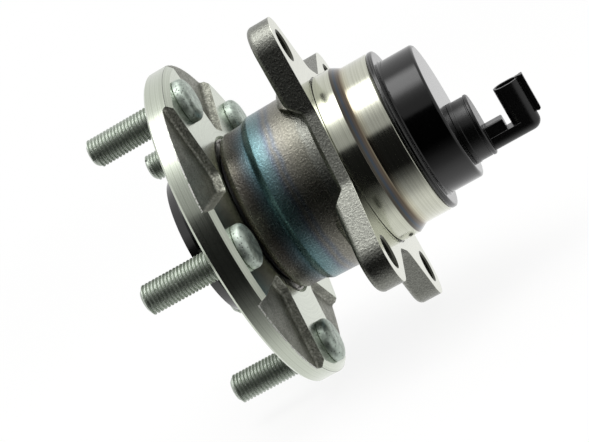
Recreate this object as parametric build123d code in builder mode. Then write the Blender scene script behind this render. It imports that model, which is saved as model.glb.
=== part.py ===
from build123d import *
import os
from math import acos, atan2, cos, hypot, radians, sin, sqrt

os.makedirs("parts", exist_ok=True)

# Rear wheel hub bearing with a speed sensor in its cap, in millimetres.
# The spin axis is Y: the wheel is on the -Y side and the sensor on the +Y side.
# The origin is the centre of the face that the wheel is bolted to, and the connector opens towards
# +Z. Angles about the axis start at +Z and grow towards +X.
# Turned profiles are drawn as (radius, y) and revolved about Y.

# Wheel flange, a forging with five bosses and five pockets between them
flange_edge_margin = 12.25
flange_thickness = 10.8
rim_chamfer = 0.9
boss_half_width = 18.5
boss_edge_width = 2.4
boss_edge_height = 1.9
pocket_depth = 3.6
pocket_draft = 14.0
pocket_inner_radius = 38.0
pocket_corner = 3.2
pocket_root = 1.5
stud_count = 5
stud_circle_radius = 57.15
first_stud_angle = 14.4

# Wheel pilot, the turned spigot that centres the wheel and the brake disc
pilot_radius = 32.0
pilot_length = 14.9
pilot_lead_length = 4.1
pilot_lead_drop = 2.4
recess_mouth_radius = 25.5
recess_corner_radius = 23.5
recess_corner_depth = 10.4
recess_floor_radius = 10.0
recess_depth = 15.4
centre_drill_radius = 3.0
centre_drill_depth = 3.0

# Wheel studs, pressed into the bosses from behind
stud_radius = 6.0
stud_reach = 31.1
stud_tip_chamfer = 1.2
stud_knurl_radius = 6.5
stud_knurl_length = 10.3
stud_head_radius = 9.0
stud_head_height = 4.5
stud_dome_height = 2.3
stud_dome_radius = 6.5
stud_dome_bulge = 0.25

# Ball rows
ball_radius = 5.556
balls_per_row = 12
pitch_radius = 24.25
contact_angle = 38.0
groove_conformity = 1.04
ball_clearance = 0.03
shoulder_height = 3.7
open_lip = 0.506
outboard_row_y = 25.0
inboard_row_y = 62.0
first_ball_angle = 8.0

# Spindle and small inner ring
seal_land_radius = 23.0
seal_land_end = 17.4
seal_recess_radius = 35.2
seal_recess_depth = 2.4
inner_ring_start = 54.0
inner_ring_end = 73.0
inner_ring_bore = 14.5
inner_ring_land = 21.9
spindle_relief = 0.6
spindle_thread_radius = 12.0
spindle_end = 88.0
spindle_chamfer = 1.5

# Hub nut
nut_flats = 32.0
nut_height = 13.0
nut_chamfer = 1.6
nut_washer_radius = 19.0
nut_washer_height = 2.5

# Outer ring, the forging that the knuckle holds
ring_start = 12.0
ring_end = 78.1
barrel_end_wall = 3.7
barrel_end_round = 1.05
barrel_end_length = 2.0
barrel_wall = 5.0
barrel_step_y = 21.5
barrel_step_length = 3.3
barrel_main_wall = 6.5
barrel_root_wall = 7.0
knuckle_face_y = 55.2
ear_thickness = 10.3
ear_angle = -25.1
ear_radius = 12.3
ear_edge_round = 2.6
ear_root_round = 4.5
bolt_pitch_width = 68.0
bolt_pitch_length = 89.0
bolt_hole_radius = 6.1
bolt_hole_chamfer = 0.7
waist_side_across = 38.5
waist_side_along = 15.0
waist_end_across = 7.0
waist_end_along = 40.2
waist_round = 9.0
waist_thickness = 5.0
notch_half_width = 16.5
notch_root_round = 2.0
notch_crest_round = 3.0
notch_crest_lift = 0.6
notch_crest_drop = 0.5
notch_crest_reach = 4.0
waist_root_round = 1.2
waist_edge_round = 0.8
undercut_width = 0.8
undercut_depth = 0.5
undercut_face_width = 0.4
undercut_face_depth = 0.3
knuckle_pilot_step = 2.1
knuckle_pilot_end = 63.1
second_band_wall = 3.4
second_band_start = 66.8
ring_end_chamfer = 0.5
seal_bore_depth = 5.2

# Outboard seal: a steel case with rubber lips, and the slinger that they run on
seal_sheet = 0.8
seal_bore_margin = 0.3
seal_case_inset = 0.4
seal_case_length = 4.0
seal_wall_width = 4.4
seal_lip_gap = 0.4
lip_root_width = 1.2
lip_tip_width = 0.6
inner_lip_root = 0.4
outer_lip_root = 2.0
inner_lip_lean = 0.7
outer_lip_lean = 0.8
rubber_skin = 0.7
slinger_radius = 34.0
slinger_rim_height = 1.9
slinger_seat_gap = 1.0

# Cages
cage_side_clearance = 0.5
cage_pocket_clearance = 0.12
cage_back_length = 7.0
cage_prong_length = 3.0

# Encoder on the small inner ring
encoder_sheet = 0.6
encoder_seat_length = 4.0
encoder_outer_radius = 28.0
magnet_thickness = 1.2
magnet_inner_radius = 22.9

# Sensor cap, pressed from sheet steel
cap_sheet = 1.2
cap_collar_margin = 1.7
cap_collar_depth = 7.6
cap_lip_height = 2.6
cap_lip_round = 1.0
cap_can_step = 2.0
cap_root_round = 1.0
cap_shoulder_round = 1.4
cap_end_y = 95.3

# Sensor body and its connector
knob_offset = 11.3
knob_radius = 13.07
knob_height = 8.6
knob_edge_round = 0.5
knob_foot_height = 1.7
knob_foot_step = 0.25
knob_groove_depth = 0.45
knob_groove_width = 0.6
knob_plate_thickness = 1.4
cap_hole_radius = 11.0
inner_disc_radius = 12.4
inner_disc_thickness = 2.5
prong_inner_radius = 21.6
prong_outer_radius = 26.8
prong_width = 8.0
sensor_air_gap = 1.0
connector_width = 8.5
arm_bottom = 23.3
arm_top = 17.6
arm_bottom_round = 3.9
socket_start_y = 114.0
socket_end_y = 124.7
socket_mouth = 2.0
socket_wall = 1.05
socket_depth = 13.4
block_end_y = 111.8
block_top = 12.6
block_width = 7.9
block_round = 0.8
latch_height = 2.0
latch_width = 4.0
latch_web_height = 0.7
latch_web_width = 2.4
latch_top = 1.5
latch_bottom = 17.3
latch_slant = 0.6

# Chip and terminals inside the sensor body
chip_width = 5.0
chip_depth = 3.6
chip_height = 1.6
chip_skin = 0.6
lead_width = 0.6
lead_thickness = 0.4
lead_spread = 0.8
terminal_width = 2.3
terminal_thickness = 0.64
terminal_spacing = 4.4
terminal_bend = 1.2
terminal_tip_depth = 4.7
outer_terminal_depth = 21.6
inner_terminal_depth = 19.4
terminal_root_y = 98.0

# How far apart two sizes may be and still count as the same
same_size = 0.01

# Values that follow from the sizes above
flange_radius = stud_circle_radius + flange_edge_margin
seal_recess_y = flange_thickness - seal_recess_depth
ear_back_y = knuckle_face_y - ear_thickness
waist_back_y = knuckle_face_y - waist_thickness
groove_radius = groove_conformity * ball_radius
outer_shoulder_radius = pitch_radius + ball_radius - shoulder_height
outer_open_radius = pitch_radius + ball_radius - open_lip
inner_shoulder_radius = pitch_radius - ball_radius + shoulder_height
seal_case_radius = outer_open_radius + seal_bore_margin
seal_case_inner_radius = seal_case_radius - seal_wall_width
barrel_end_radius = seal_case_radius + barrel_end_wall
barrel_radius = seal_case_radius + barrel_wall
barrel_main_radius = seal_case_radius + barrel_main_wall
barrel_root_radius = seal_case_radius + barrel_root_wall
cap_collar_radius = outer_open_radius + cap_collar_margin
second_band_radius = cap_collar_radius + second_band_wall
knuckle_pilot_radius = second_band_radius + knuckle_pilot_step
cap_lip_radius = second_band_radius
cap_can_radius = cap_collar_radius - cap_can_step
inner_open_radius = pitch_radius - ball_radius + open_lip / 2
magnet_start_y = inner_ring_end + encoder_sheet
prong_tip_y = magnet_start_y + magnet_thickness + sensor_air_gap
knob_end_y = cap_end_y + knob_height
cap_inner_y = cap_end_y - cap_sheet
disc_y = cap_inner_y - inner_disc_thickness
socket_centre_y = (socket_start_y + socket_end_y) / 2
slinger_face_y = seal_recess_y + seal_sheet
seal_wall_y = ring_start + seal_case_inset + seal_case_length - seal_sheet


def across_axis(y, turn=0.0):
    """The plane across the spin axis at y, its own y axis turned from +Z towards +X by turn degrees."""
    angle = radians(turn)
    return Plane(origin=(0, y, 0), x_dir=(cos(angle), 0, -sin(angle)), z_dir=(0, -1, 0))


def ring_of_points(radius, y, count, first_angle):
    """Points spaced evenly round the spin axis."""
    angles = [radians(first_angle + 360 * index / count) for index in range(count)]
    return [(radius * sin(angle), y, radius * cos(angle)) for angle in angles]


def groove(row_y, ring, lean):
    """The shoulder end, contact point and open end of one ball groove, as (radius, y).

    ring is 1 for the outer ring and -1 for an inner one, and lean is the side in y that the
    contact leans to.
    """
    towards = (ring * cos(radians(contact_angle)), lean * sin(radians(contact_angle)))
    back = groove_radius - ball_radius - ball_clearance
    centre = (pitch_radius - back * towards[0], row_y - back * towards[1])
    contact = (centre[0] + groove_radius * towards[0], centre[1] + groove_radius * towards[1])
    ends = []
    radii = (inner_shoulder_radius, inner_open_radius)
    if ring > 0:
        radii = (outer_shoulder_radius, outer_open_radius)
    for radius, side in zip(radii, (lean, -lean)):
        reach = sqrt(groove_radius**2 - (radius - centre[0]) ** 2)
        ends.append((radius, centre[1] + side * reach))
    return ends[0], contact, ends[1]


def tangent_point(start, centre, radius, side):
    """Where a line from start touches a circle, on its left (1) or right (-1) as seen from start."""
    gap = (centre[0] - start[0], centre[1] - start[1])
    distance = hypot(*gap)
    heading = atan2(gap[1], gap[0]) + side * (radians(90) - acos(radius / distance))
    length = sqrt(distance**2 - radius**2)
    return (start[0] + length * cos(heading), start[1] + length * sin(heading))


def save(builder, name):
    """Labels a finished piece and writes it under that name."""
    builder.part.label = name
    export_step(builder.part, f"parts/{name}.step")


# Wheel hub: flange, wheel pilot and spindle in one forging, with the outboard groove ground in it
hub_shoulder, hub_contact, hub_open = groove(outboard_row_y, -1, -1)
recess_start_y = -pilot_length
recess_floor_y = recess_start_y + recess_depth
with BuildSketch(Plane.XY) as pocket_outline:
    half_pitch = radians(180 / stud_count)
    inner_x = sqrt(pocket_inner_radius**2 - boss_half_width**2)
    outer_x = sqrt((flange_radius + boss_half_width) ** 2 - boss_half_width**2)
    with BuildLine():
        corners = [
            (
                reach * cos(half_pitch) + boss_half_width * sin(half_pitch),
                reach * sin(half_pitch) - boss_half_width * cos(half_pitch),
            )
            for reach in (inner_x, outer_x)
        ]
        Line(corners[0], corners[1])
        Line(corners[1], (corners[1][0], -corners[1][1]))
        Line((corners[1][0], -corners[1][1]), (corners[0][0], -corners[0][1]))
        ThreePointArc((corners[0][0], -corners[0][1]), (pocket_inner_radius, 0), corners[0])
    make_face()
    fillet(pocket_outline.vertices().sort_by(Axis.X)[:2], pocket_corner)

with BuildPart() as wheel_hub:
    with BuildSketch(Plane.XY):
        with BuildLine():
            Polyline(
                (0, recess_floor_y + centre_drill_depth),
                (centre_drill_radius, recess_floor_y),
                (recess_floor_radius, recess_floor_y),
                (recess_corner_radius, recess_start_y + recess_corner_depth),
                (recess_mouth_radius, recess_start_y),
                (pilot_radius - pilot_lead_drop, recess_start_y),
                (pilot_radius, recess_start_y + pilot_lead_length),
                (pilot_radius, 0),
                (flange_radius - rim_chamfer, 0),
                (flange_radius, rim_chamfer),
                (flange_radius, flange_thickness - boss_edge_height),
                (flange_radius - boss_edge_width, flange_thickness),
                (seal_recess_radius, flange_thickness),
                (seal_recess_radius, seal_recess_y),
                (seal_land_radius, seal_recess_y),
                (seal_land_radius, seal_land_end),
                (inner_shoulder_radius, seal_land_end),
                hub_shoulder,
            )
            ThreePointArc(hub_shoulder, hub_contact, hub_open)
            Polyline(
                hub_open,
                (inner_open_radius, inner_ring_start),
                (inner_ring_bore, inner_ring_start),
                (inner_ring_bore, inner_ring_end - spindle_relief),
                (spindle_thread_radius, inner_ring_end - spindle_relief),
                (spindle_thread_radius, spindle_end - spindle_chamfer),
                (spindle_thread_radius - spindle_chamfer, spindle_end),
                (0, spindle_end),
                (0, recess_floor_y + centre_drill_depth),
            )
        make_face()
    revolve(axis=Axis.Y)
    with BuildSketch(across_axis(flange_thickness, first_stud_angle + 180 / stud_count)):
        with PolarLocations(0, stud_count, start_angle=90):
            add(pocket_outline.sketch)
    extrude(amount=pocket_depth, taper=pocket_draft, mode=Mode.SUBTRACT)
    pocket_floor_y = flange_thickness - pocket_depth
    floors = wheel_hub.faces().filter_by(Axis.Y)
    floors = floors.filter_by(lambda face: abs(face.center().Y - pocket_floor_y) < same_size)
    rim_edges = floors.edges().filter_by(GeomType.CIRCLE)
    rim_edges = rim_edges.filter_by(lambda edge: abs(edge.radius - flange_radius) < same_size)
    fillet([edge for edge in floors.edges() if edge not in rim_edges], pocket_root)
    with Locations(across_axis(flange_thickness, first_stud_angle)):
        with PolarLocations(stud_circle_radius, stud_count, start_angle=90):
            Hole(stud_knurl_radius, depth=flange_thickness)
save(wheel_hub, "wheel_hub")

# Wheel studs: knurled neck in the flange, round head behind it, threaded shank towards the wheel
with BuildPart() as stud:
    with BuildSketch(Plane.XY):
        with BuildLine():
            knurl_y = flange_thickness - stud_knurl_length
            head_end_y = flange_thickness + stud_head_height
            dome_middle_radius = (stud_head_radius + stud_dome_radius) / 2 + stud_dome_bulge
            dome_middle_y = head_end_y - stud_dome_height / 2 + stud_dome_bulge
            Polyline(
                (0, -stud_reach),
                (stud_radius - stud_tip_chamfer, -stud_reach),
                (stud_radius, -stud_reach + stud_tip_chamfer),
                (stud_radius, knurl_y - (stud_knurl_radius - stud_radius)),
                (stud_knurl_radius, knurl_y),
                (stud_knurl_radius, flange_thickness),
                (stud_head_radius, flange_thickness),
                (stud_head_radius, head_end_y - stud_dome_height),
            )
            ThreePointArc(
                (stud_head_radius, head_end_y - stud_dome_height),
                (dome_middle_radius, dome_middle_y),
                (stud_dome_radius, head_end_y),
            )
            Polyline(
                (stud_dome_radius, head_end_y),
                (0, head_end_y),
                (0, -stud_reach),
            )
        make_face()
    revolve(axis=Axis.Y)
with BuildPart() as wheel_studs:
    with Locations(*ring_of_points(stud_circle_radius, 0, stud_count, first_stud_angle)):
        add(stud.part)
save(wheel_studs, "wheel_studs")

# Small inner ring, pressed on the spindle, with the inboard groove
ring_shoulder, ring_contact, ring_open = groove(inboard_row_y, -1, 1)
with BuildPart() as inner_ring:
    with BuildSketch(Plane.XY):
        with BuildLine():
            Polyline(
                ring_open,
                (inner_open_radius, inner_ring_start),
                (inner_ring_bore, inner_ring_start),
                (inner_ring_bore, inner_ring_end),
                (inner_ring_land, inner_ring_end),
                (inner_ring_land, inner_ring_end - encoder_seat_length - encoder_sheet),
                (inner_shoulder_radius, inner_ring_end - encoder_seat_length - encoder_sheet),
                ring_shoulder,
            )
            ThreePointArc(ring_shoulder, ring_contact, ring_open)
        make_face()
    revolve(axis=Axis.Y)
save(inner_ring, "inner_ring")

# Hub nut, which clamps the inner ring on the spindle
with BuildPart() as hub_nut:
    with BuildSketch(across_axis(inner_ring_end)):
        RegularPolygon(nut_flats / 2, 6, major_radius=False)
    extrude(amount=-nut_height)
    with BuildSketch(Plane.XY):
        with BuildLine():
            Polyline(
                (0, inner_ring_end),
                (nut_washer_radius, inner_ring_end),
                (nut_washer_radius, inner_ring_end + nut_height - nut_chamfer),
                (nut_flats / 2, inner_ring_end + nut_height),
                (0, inner_ring_end + nut_height),
                (0, inner_ring_end),
            )
        make_face()
    revolve(axis=Axis.Y, mode=Mode.INTERSECT)
    with BuildSketch(across_axis(inner_ring_end)):
        Circle(nut_washer_radius)
    extrude(amount=-nut_washer_height)
    with BuildSketch(across_axis(inner_ring_end)):
        Circle(spindle_thread_radius)
    extrude(amount=-nut_height, mode=Mode.SUBTRACT)
save(hub_nut, "hub_nut")

# Outer ring: barrel, knuckle pilot and the plate of four ears that is bolted to the knuckle
side_corner = (waist_side_across, waist_side_along)
end_corner = (waist_end_across, waist_end_along)
ear_centre = (bolt_pitch_width / 2, bolt_pitch_length / 2)
ear_distance = hypot(*ear_centre)
ear_tip = tuple(value * (1 + ear_radius / ear_distance) for value in ear_centre)
side_touch = tangent_point(side_corner, ear_centre, ear_radius, -1)
end_touch = tangent_point(end_corner, ear_centre, ear_radius, 1)
with BuildSketch(Plane.XY) as ear_outline:
    with BuildLine():
        Polyline((waist_side_across, 0), side_corner, side_touch)
        ThreePointArc(side_touch, ear_tip, end_touch)
        Polyline(end_touch, end_corner, (0, waist_end_along))
        mirror(about=Plane.YZ)
        mirror(about=Plane.XZ)
    make_face()
    inner_corners = ear_outline.vertices().filter_by(
        lambda corner: min(
            hypot(abs(corner.X) - side_corner[0], abs(corner.Y) - side_corner[1]),
            hypot(abs(corner.X) - end_corner[0], abs(corner.Y) - end_corner[1]),
        )
        < same_size
    )
    fillet(inner_corners, waist_round)
notch_plane = Plane(
    origin=(0, 0, 0),
    x_dir=(sin(radians(ear_angle)), 0, cos(radians(ear_angle))),
    z_dir=(-cos(radians(ear_angle)), 0, sin(radians(ear_angle))),
)
notch_low_y = ear_back_y - ear_root_round
notch_crest_y = ear_back_y + notch_crest_lift
notch_crest = notch_half_width + waist_back_y - notch_crest_y
notch_end = notch_crest + notch_crest_reach
notch_low = notch_half_width + waist_back_y - notch_low_y
with BuildPart() as plate_notch:
    with BuildSketch(notch_plane) as notch_outline:
        with BuildLine():
            Polyline(
                (notch_half_width, waist_back_y),
                (notch_crest, notch_crest_y),
                (notch_end, ear_back_y - notch_crest_drop),
                (notch_end, notch_low_y),
                (-notch_end, notch_low_y),
                (-notch_end, ear_back_y - notch_crest_drop),
                (-notch_crest, notch_crest_y),
                (-notch_half_width, waist_back_y),
                close=True,
            )
        make_face()
        corners = notch_outline.vertices()
        fillet(corners.filter_by(lambda corner: abs(corner.Y - waist_back_y) < same_size), notch_root_round)
        crests = notch_outline.vertices()
        fillet(crests.filter_by(lambda corner: abs(corner.Y - notch_crest_y) < same_size), notch_crest_round)
    extrude(amount=ear_distance, both=True)
with BuildPart() as root_notch:
    with BuildSketch(notch_plane):
        with BuildLine():
            Polyline(
                (-notch_half_width, waist_back_y),
                (notch_half_width, waist_back_y),
                (notch_low, notch_low_y),
                (-notch_low, notch_low_y),
                close=True,
            )
        make_face()
    extrude(amount=ear_distance, both=True)
with BuildPart() as ear_root:
    with BuildSketch(Plane.XY):
        with BuildLine():
            root_start = (barrel_root_radius, ear_back_y - ear_root_round)
            root_end = (barrel_root_radius + ear_root_round, ear_back_y)
            RadiusArc(root_start, root_end, -ear_root_round)
            Polyline(
                root_end,
                (second_band_radius, ear_back_y),
                (second_band_radius, root_start[1]),
                root_start,
            )
        make_face()
    revolve(axis=Axis.Y)
    with BuildSketch(across_axis(ear_back_y, ear_angle)):
        offset(ear_outline.sketch, amount=-ear_edge_round)
    extrude(amount=ear_root_round, mode=Mode.INTERSECT)
    add(root_notch.part, mode=Mode.SUBTRACT)

out_shoulder, out_contact, out_open = groove(outboard_row_y, 1, 1)
in_shoulder, in_contact, in_open = groove(inboard_row_y, 1, -1)
undercut_radius = knuckle_pilot_radius - undercut_depth
undercut_face_radius = knuckle_pilot_radius + undercut_face_width
with BuildPart() as outer_ring:
    with BuildSketch(across_axis(knuckle_face_y, ear_angle)):
        add(ear_outline.sketch)
    extrude(amount=ear_thickness)
    fillet(outer_ring.faces().sort_by(Axis.Y)[0].edges(), ear_edge_round)
    add(plate_notch.part, mode=Mode.SUBTRACT)
    waist_floor = outer_ring.faces().filter_by(Axis.Y).sort_by(Axis.Y)[-2]
    waist_sides = waist_floor.edges().filter_by(
        lambda edge: abs(notch_plane.to_local_coords(edge.center()).X) < notch_half_width / 2
    )
    fillet(waist_sides, waist_edge_round)
    add(ear_root.part)
    with BuildSketch(across_axis(knuckle_face_y)):
        Circle(second_band_radius)
    extrude(amount=ear_thickness + ear_root_round, mode=Mode.SUBTRACT)
    with BuildSketch(across_axis(knuckle_face_y)):
        Circle(undercut_face_radius)
    extrude(amount=undercut_face_depth, mode=Mode.SUBTRACT)
    with BuildSketch(Plane.XY):
        with BuildLine():
            Polyline(
                out_open,
                (outer_open_radius, ring_start + seal_bore_depth),
                (seal_case_radius, ring_start + seal_bore_depth),
                (seal_case_radius, ring_start),
                (barrel_end_radius, ring_start),
                (barrel_end_radius + barrel_end_round, ring_start + barrel_end_length),
                (barrel_radius, barrel_step_y),
                (barrel_main_radius, barrel_step_y + barrel_step_length),
                (barrel_root_radius, waist_back_y - waist_root_round),
                (barrel_root_radius + waist_root_round, waist_back_y),
                (barrel_root_radius, waist_back_y),
                (barrel_root_radius, knuckle_face_y - undercut_face_depth),
                (undercut_radius, knuckle_face_y - undercut_face_depth),
                (undercut_radius, knuckle_face_y + undercut_width),
                (knuckle_pilot_radius, knuckle_face_y + undercut_width),
                (knuckle_pilot_radius, knuckle_pilot_end),
                (second_band_radius, second_band_start),
                (second_band_radius, ring_end - ring_end_chamfer),
                (second_band_radius - ring_end_chamfer, ring_end),
                (cap_collar_radius, ring_end),
                (cap_collar_radius, ring_end - cap_collar_depth - cap_sheet),
                (outer_open_radius, ring_end - cap_collar_depth - cap_sheet),
                in_open,
            )
            ThreePointArc(in_open, in_contact, in_shoulder)
            Line(in_shoulder, out_shoulder)
            ThreePointArc(out_shoulder, out_contact, out_open)
        make_face()
    revolve(axis=Axis.Y)
    with Locations(across_axis(knuckle_face_y, ear_angle)):
        with GridLocations(bolt_pitch_width, bolt_pitch_length, 2, 2):
            Hole(bolt_hole_radius, depth=ear_thickness)
    rims = outer_ring.edges().filter_by(GeomType.CIRCLE)
    rims = rims.filter_by(lambda edge: abs(edge.radius - bolt_hole_radius) < same_size)
    chamfer(rims, bolt_hole_chamfer)
save(outer_ring, "outer_ring")

# Slinger: pressed sheet on the hub, its flange runs in the recess and keeps water off the seal
slinger_bore_end = seal_land_end - slinger_seat_gap
with BuildPart() as seal_slinger:
    with BuildSketch(Plane.XY):
        with BuildLine():
            Polyline(
                (seal_land_radius, seal_recess_y),
                (slinger_radius, seal_recess_y),
                (slinger_radius, seal_recess_y + slinger_rim_height),
                (slinger_radius - seal_sheet, seal_recess_y + slinger_rim_height),
                (slinger_radius - seal_sheet, slinger_face_y),
                (seal_land_radius + seal_sheet, slinger_face_y),
                (seal_land_radius + seal_sheet, slinger_bore_end),
                (seal_land_radius, slinger_bore_end),
                close=True,
            )
        make_face()
    revolve(axis=Axis.Y)
save(seal_slinger, "seal_slinger")

# Seal case: pressed sheet in the bore of the outer ring, with a wall that reaches inwards
seal_case_start = ring_start + seal_case_inset
with BuildPart() as seal_case:
    with BuildSketch(Plane.XY):
        with BuildLine():
            Polyline(
                (seal_case_radius, seal_case_start),
                (seal_case_radius, seal_case_start + seal_case_length),
                (seal_case_inner_radius, seal_case_start + seal_case_length),
                (seal_case_inner_radius, seal_wall_y),
                (seal_case_radius - seal_sheet, seal_wall_y),
                (seal_case_radius - seal_sheet, seal_case_start),
                close=True,
            )
        make_face()
    revolve(axis=Axis.Y)
save(seal_case, "seal_case")

# Seal lips: rubber moulded on the case, one lip round the slinger's sleeve and two on its flange
sleeve_radius = seal_land_radius + seal_sheet + seal_lip_gap
lip_tip_y = slinger_face_y + seal_lip_gap
rubber_y = seal_wall_y - rubber_skin
with BuildPart() as seal_lips:
    with BuildSketch(Plane.XY):
        with BuildLine():
            Polyline(
                (seal_case_radius - seal_sheet, seal_wall_y),
                (seal_case_inner_radius, seal_wall_y),
                (seal_case_inner_radius, seal_wall_y + seal_sheet),
                (seal_case_inner_radius - rubber_skin, seal_wall_y + seal_sheet),
                (sleeve_radius, rubber_y),
                (sleeve_radius, rubber_y - lip_tip_width),
                (seal_case_inner_radius, rubber_y),
                (seal_case_radius - seal_sheet, rubber_y),
                close=True,
            )
        make_face()
        for lip_root, lip_lean in ((inner_lip_root, inner_lip_lean), (outer_lip_root, outer_lip_lean)):
            root_radius = seal_case_inner_radius + lip_root
            tip_radius = root_radius + lip_lean
            with BuildLine():
                Polyline(
                    (root_radius, rubber_y),
                    (tip_radius, lip_tip_y),
                    (tip_radius + lip_tip_width, lip_tip_y),
                    (root_radius + lip_root_width, rubber_y),
                    close=True,
                )
            make_face()
    revolve(axis=Axis.Y)
save(seal_lips, "seal_lips")

# Encoder: a sheet carrier pressed on the inner ring, with the magnetised ring that the sensor reads
carrier_start = inner_ring_end - encoder_seat_length
with BuildPart() as encoder_carrier:
    with BuildSketch(Plane.XY):
        with BuildLine():
            Polyline(
                (inner_ring_land, carrier_start),
                (inner_ring_land, magnet_start_y),
                (encoder_outer_radius, magnet_start_y),
                (encoder_outer_radius, inner_ring_end),
                (inner_ring_land + encoder_sheet, inner_ring_end),
                (inner_ring_land + encoder_sheet, carrier_start),
                close=True,
            )
        make_face()
    revolve(axis=Axis.Y)
save(encoder_carrier, "encoder_carrier")

with BuildPart() as encoder_magnet:
    with BuildSketch(across_axis(magnet_start_y)):
        Circle(encoder_outer_radius)
        Circle(magnet_inner_radius, mode=Mode.SUBTRACT)
    extrude(amount=-magnet_thickness)
save(encoder_magnet, "encoder_magnet")


def build_cage(row_y, back, name):
    """A moulded snap cage: a ring on the back side of the row, with prongs between the balls."""
    with BuildPart() as cage:
        with BuildSketch(across_axis(row_y + back * cage_back_length)):
            Circle(outer_shoulder_radius - cage_side_clearance)
            Circle(inner_shoulder_radius + cage_side_clearance, mode=Mode.SUBTRACT)
        extrude(amount=back * (cage_back_length + cage_prong_length))
        with Locations(*ring_of_points(pitch_radius, row_y, balls_per_row, first_ball_angle)):
            Sphere(ball_radius + cage_pocket_clearance, mode=Mode.SUBTRACT)
    save(cage, name)


def build_balls(row_y, row_name):
    """The balls of one row, each a piece of its own."""
    places = ring_of_points(pitch_radius, row_y, balls_per_row, first_ball_angle)
    for number, place in enumerate(places, start=1):
        with BuildPart() as ball:
            with Locations(place):
                Sphere(ball_radius)
        save(ball, f"{row_name}_ball_{number:02d}")


# Ball rows with their cages, whose rings face the two ends of the unit
build_cage(outboard_row_y, -1, "outboard_cage")
build_cage(inboard_row_y, 1, "inboard_cage")
build_balls(outboard_row_y, "outboard")
build_balls(inboard_row_y, "inboard")

# Sensor cap: drawn steel can with a folded lip, its collar pressed into the outer ring
cap_lip_y = ring_end + cap_lip_height
collar_inner_radius = cap_collar_radius - cap_sheet
can_inner_radius = cap_can_radius - cap_sheet
with BuildPart() as sensor_cap:
    with BuildSketch(Plane.XY):
        with BuildLine():
            Polyline(
                (cap_collar_radius, ring_end),
                (cap_lip_radius - cap_lip_round, ring_end),
            )
            TangentArc(
                (cap_lip_radius - cap_lip_round, ring_end),
                (cap_lip_radius, ring_end + cap_lip_round),
                tangent=(1, 0),
            )
            Line(
                (cap_lip_radius, ring_end + cap_lip_round),
                (cap_lip_radius, cap_lip_y - cap_lip_round),
            )
            TangentArc(
                (cap_lip_radius, cap_lip_y - cap_lip_round),
                (cap_lip_radius - cap_lip_round, cap_lip_y),
                tangent=(0, 1),
            )
            Line(
                (cap_lip_radius - cap_lip_round, cap_lip_y),
                (cap_can_radius + cap_root_round, cap_lip_y),
            )
            TangentArc(
                (cap_can_radius + cap_root_round, cap_lip_y),
                (cap_can_radius, cap_lip_y + cap_root_round),
                tangent=(-1, 0),
            )
            Line(
                (cap_can_radius, cap_lip_y + cap_root_round),
                (cap_can_radius, cap_end_y - cap_shoulder_round),
            )
            TangentArc(
                (cap_can_radius, cap_end_y - cap_shoulder_round),
                (cap_can_radius - cap_shoulder_round, cap_end_y),
                tangent=(0, 1),
            )
            Polyline(
                (cap_can_radius - cap_shoulder_round, cap_end_y),
                (0, cap_end_y),
                (0, cap_inner_y),
                (can_inner_radius, cap_inner_y),
                (can_inner_radius, cap_lip_y - cap_sheet),
                (collar_inner_radius, cap_lip_y - cap_sheet),
                (collar_inner_radius, ring_end - cap_collar_depth),
                (cap_collar_radius, ring_end - cap_collar_depth),
                (cap_collar_radius, ring_end),
            )
        make_face()
    revolve(axis=Axis.Y)
    with BuildSketch(across_axis(cap_end_y)):
        with Locations((0, -knob_offset)):
            Circle(cap_hole_radius)
    extrude(amount=cap_sheet, mode=Mode.SUBTRACT)
save(sensor_cap, "sensor_cap")

# Chip and its two leads, moulded into the sensor body: the chip faces the magnetised ring
prong_centre = (prong_inner_radius + prong_outer_radius) / 2
chip_start_y = prong_tip_y + chip_skin
lead_bend_y = disc_y + inner_disc_thickness / 2
with BuildPart() as sensor_chip:
    with BuildSketch(across_axis(chip_start_y)):
        with Locations((0, -prong_centre)):
            Rectangle(chip_width, chip_depth)
    extrude(amount=-chip_height)
    for side, level in zip((-1, 1), (outer_terminal_depth, inner_terminal_depth)):
        with BuildSketch(Plane.YZ.offset(side * lead_spread)):
            with BuildLine():
                Polyline(
                    (chip_start_y + chip_height / 2, -prong_centre),
                    (lead_bend_y, -prong_centre),
                    (lead_bend_y, -level),
                    (terminal_root_y, -level),
                )
            trace(line_width=lead_thickness)
        extrude(amount=lead_width / 2, both=True)
save(sensor_chip, "sensor_chip")

# Terminals: two blades that stand in the socket and run back through the arm to the leads
with BuildPart() as terminal_pins:
    for side, level in zip((1, -1), (outer_terminal_depth, inner_terminal_depth)):
        blade_y = socket_centre_y + side * terminal_spacing / 2
        with BuildSketch(Plane.YZ):
            with BuildLine():
                FilletPolyline(
                    (terminal_root_y, -level),
                    (blade_y, -level),
                    (blade_y, -socket_mouth - terminal_tip_depth),
                    radius=terminal_bend,
                )
            trace(line_width=terminal_thickness)
        extrude(amount=terminal_width / 2, both=True)
save(terminal_pins, "terminal_pins")

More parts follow.
